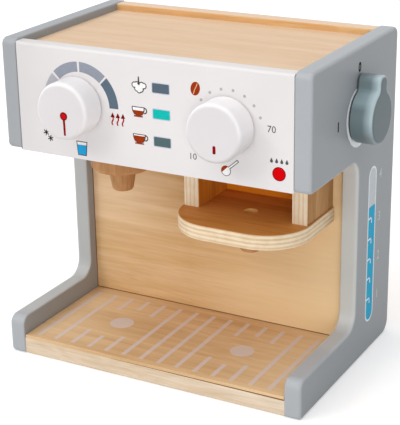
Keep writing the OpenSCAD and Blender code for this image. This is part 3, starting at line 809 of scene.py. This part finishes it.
def print_rinse_mark():
    centre = (92.2, 161.3)
    drops = [drop((x, 169.1), 1.0, 3.3) for x in (87.0, 90.5, 94.0, 97.5)]
    print_on(FRONT, "rinse_drops", "text_grey", drops)
    print_on(FRONT, "rinse_disc_edge", "dark_red", [disc(centre, 4.6, 40)])
    print_on(FRONT, "rinse_disc", "red_disc", [disc(centre, 4.05, 40)], 1)


def print_knobs():
    left = knob_front("temperature_knob", "temperature_dial")
    right = knob_front("grinder_knob", "grinder_dial")
    dot = (2.3, -2.5)
    print_on(left, "temperature_pointer", "pointer_red",
             [ribbon([(2.3, -2.6), (2.5, -9.0), (2.6, -15.5)], 1.8, 1.5)])
    print_on(left, "temperature_pointer_rim", "dark_red", [disc(dot, 2.8)], 1)
    print_on(left, "temperature_pointer_dot", "red", [disc(dot, 1.9)], 2)
    print_on(right, "grinder_pointer", "pointer_red", [rectangle(0.2, -12.6, 2.3, -7.3, 0.9)])


# ---------------------------------------------------------------- prints on the plate and the side


def print_plate():
    """Lines and two discs; a line near a disc is broken, and the one through its middle more so."""
    count, first, pitch, half = 14, -93.0, 13.96, 1.65
    front, back = -71.5, 11.5
    gap_front, gap_back, gap_more = -47.0, -10.5, 5.5
    broken, broken_more = (2, 3, 4, 9, 10, 11), (3, 10)
    lines = []
    for i in range(count):
        x = first + pitch * i
        spans = ((front, back),)
        if i in broken:
            more = gap_more if i in broken_more else 0.0
            spans = ((front, gap_front - more), (gap_back + more, back))
        lines += [rectangle(x - half, y0, x + half, y1, 0.8) for y0, y1 in spans]
    discs = [disc((-50.3, -28.4), 8.7, 48), disc((47.8, -29.5), 8.5, 48)]
    print_on(PLATE, "drip_grid", "grid", lines + discs)


def print_gauge():
    """A level glass with hooked marks in its water, and a digit beside every second one."""
    u, half, low, high, level = 37.5, 7.0, 23.2, 138.5, 110.0
    rim, mark, hook, digits_at = 1.3, 1.2, 3.4, 52.0
    inner = half - rim

    def upper(r, z):
        return arc((u, z - r), r, 0, 180)

    def lower(r, z):
        return arc((u, z + r), r, 180, 360)
    print_on(SIDE, "gauge_rim", "gauge_rim",
             [[upper(half, high) + lower(half, low), upper(inner, high - rim) + lower(inner, low + rim)]])
    print_on(SIDE, "gauge_air", "gauge_air",
             [upper(inner, high - rim) + [(u - inner, level), (u + inner, level)]])
    print_on(SIDE, "gauge_water", "gauge_blue",
             [lower(inner, low + rim) + [(u + inner, level - 0.2), (u - inner, level - 0.2)]])
    marks = []
    for z in (101.0, 85.6, 70.6, 56.0, 40.4):
        marks.append(rectangle(u - inner, z, u + mark / 2, z + mark, mark / 4))
        marks.append(rectangle(u - mark / 2, z - hook, u + mark / 2, z + mark, mark / 4))
    print_on(SIDE, "gauge_ticks", "gauge_rim", marks, 1)
    for digit, z in (("4", 128.7), ("3", 97.6), ("2", 68.3), ("1", 38.5)):
        print_digits(SIDE, "gauge_digit_" + digit, "faint_white", digit, (digits_at, z), 7.0)


def print_lever_scale():
    """A crescent round the lever's axle, from its outer rim's angles and radii, and its two digits."""
    centre = [v / MM for v in middle("steam_axle")[1:]]
    rim = ((98, 18.4), (107, 19.2), (116, 19.3), (132, 19.3), (148, 19.4), (160, 19.7), (173, 20.0),
           (186, 19.9), (199, 19.8), (217, 20.0), (236, 20.6), (251, 21.3), (266, 22.0), (280, 22.4),
           (294, 22.0), (304, 20.5), (312, 18.0))
    crescent = [polar(centre, r, a) for a, r in rim] + arc(centre, 17.0, rim[-1][0], rim[0][0], 40)
    print_on(SIDE, "steam_scale", "scale_white", [crescent])
    print_digits(SIDE, "steam_low_digit", "black", "0", (8.7, 213.9), 6.0, bold=0.35)
    print_digits(SIDE, "steam_high_digit", "black", "1", (-24.8, 182.8), 6.0, bold=0.35)


# ---------------------------------------------------------------- painted shadow in the seams


def strip(x0, z0, x1, z1):
    """A plain rectangle."""
    return [(x0, z0), (x1, z0), (x1, z1), (x0, z1)]


def print_gap_shadows():
    """Painted shadow in the gaps between the boards, as thin strips and a wedge."""
    (x0, _, z0), (x1, _, z1) = [[v / MM for v in corner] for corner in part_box("front_panel")]
    foot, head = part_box("drip_plate")[1][2] / MM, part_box("head_floor")[0][2] / MM
    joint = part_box("drip_plate")[0][2] / MM
    front_seam, foot_seam, wall_seam, clear = 0.45, 0.55, 0.5, 0.6
    print_on(FRONT, "gap_shadow_front_left", "gap_shadow_grey", [strip(x0, z0 + clear, x0 + front_seam, z1 - clear)])
    print_on(board_front("bay_wall", "light_veneer"), "gap_shadows_bay_wall", "gap_shadow_brown",
             [strip(x0, foot, x1, foot + foot_seam),
              strip(x0, foot + clear, x0 + wall_seam, head),
              strip(x1 - wall_seam, foot + clear, x1, head)])
    wedge = [(-30, joint - 0.05), (x1 - 0.3, joint - 0.45), (x1 - 0.3, joint + 0.45), (-30, joint + 0.1)]
    print_on(board_front("base_board", "warm_veneer"), "gap_shadow_under_plate", "gap_shadow_brown", [wedge])


def print_everything():
    print_temperature_dial()
    print_heat_and_cold()
    print_glass()
    print_middle_column()
    print_grinder_dial()
    print_rinse_mark()
    print_knobs()
    print_plate()
    print_gauge()
    print_lever_scale()
    print_gap_shadows()


# ---------------------------------------------------------------- floor

FLOOR_COLOUR = "#f4f4f4"
FLOOR_ROUGH = 0.9
FLOOR_LIFT = 0.30  # light of its own, for the camera alone
FLOOR_REACH = 4.0  # m


def make_floor():
    s = Surface("floor_paper", FLOOR_ROUGH, specular=0.0)
    grain = s.noise(s.coordinates((PAPER_GRAIN,) * 3), detail=2.0)
    shade = s.ramp(grain, (0.3, grey(0.995)), (0.7, grey(1)))
    s.link(s.mix(1.0, linear(FLOOR_COLOUR), shade, "MULTIPLY"), "Base Color")
    camera_ray = s.node("ShaderNodeLightPath").outputs["Is Camera Ray"]
    s.set("Emission Color", (1.0, 1.0, 1.0, 1.0))
    s.link(s.maths("MULTIPLY", camera_ray, FLOOR_LIFT), "Emission Strength")
    mesh = bpy.data.meshes.new("floor")
    corners = ((-1, -1), (1, -1), (1, 1), (-1, 1))
    mesh.from_pydata([(x * FLOOR_REACH, y * FLOOR_REACH, 0) for x, y in corners], [], [(0, 1, 2, 3)])
    mesh.materials.append(s.material)
    add_object("floor", mesh)


make_camera()
make_world()
make_lamps()
make_floor()
dress_painted()
dress_wooden()
dress_screws()
ease_edges()
print_everything()
bpy.context.scene.view_settings.view_transform = "Standard"
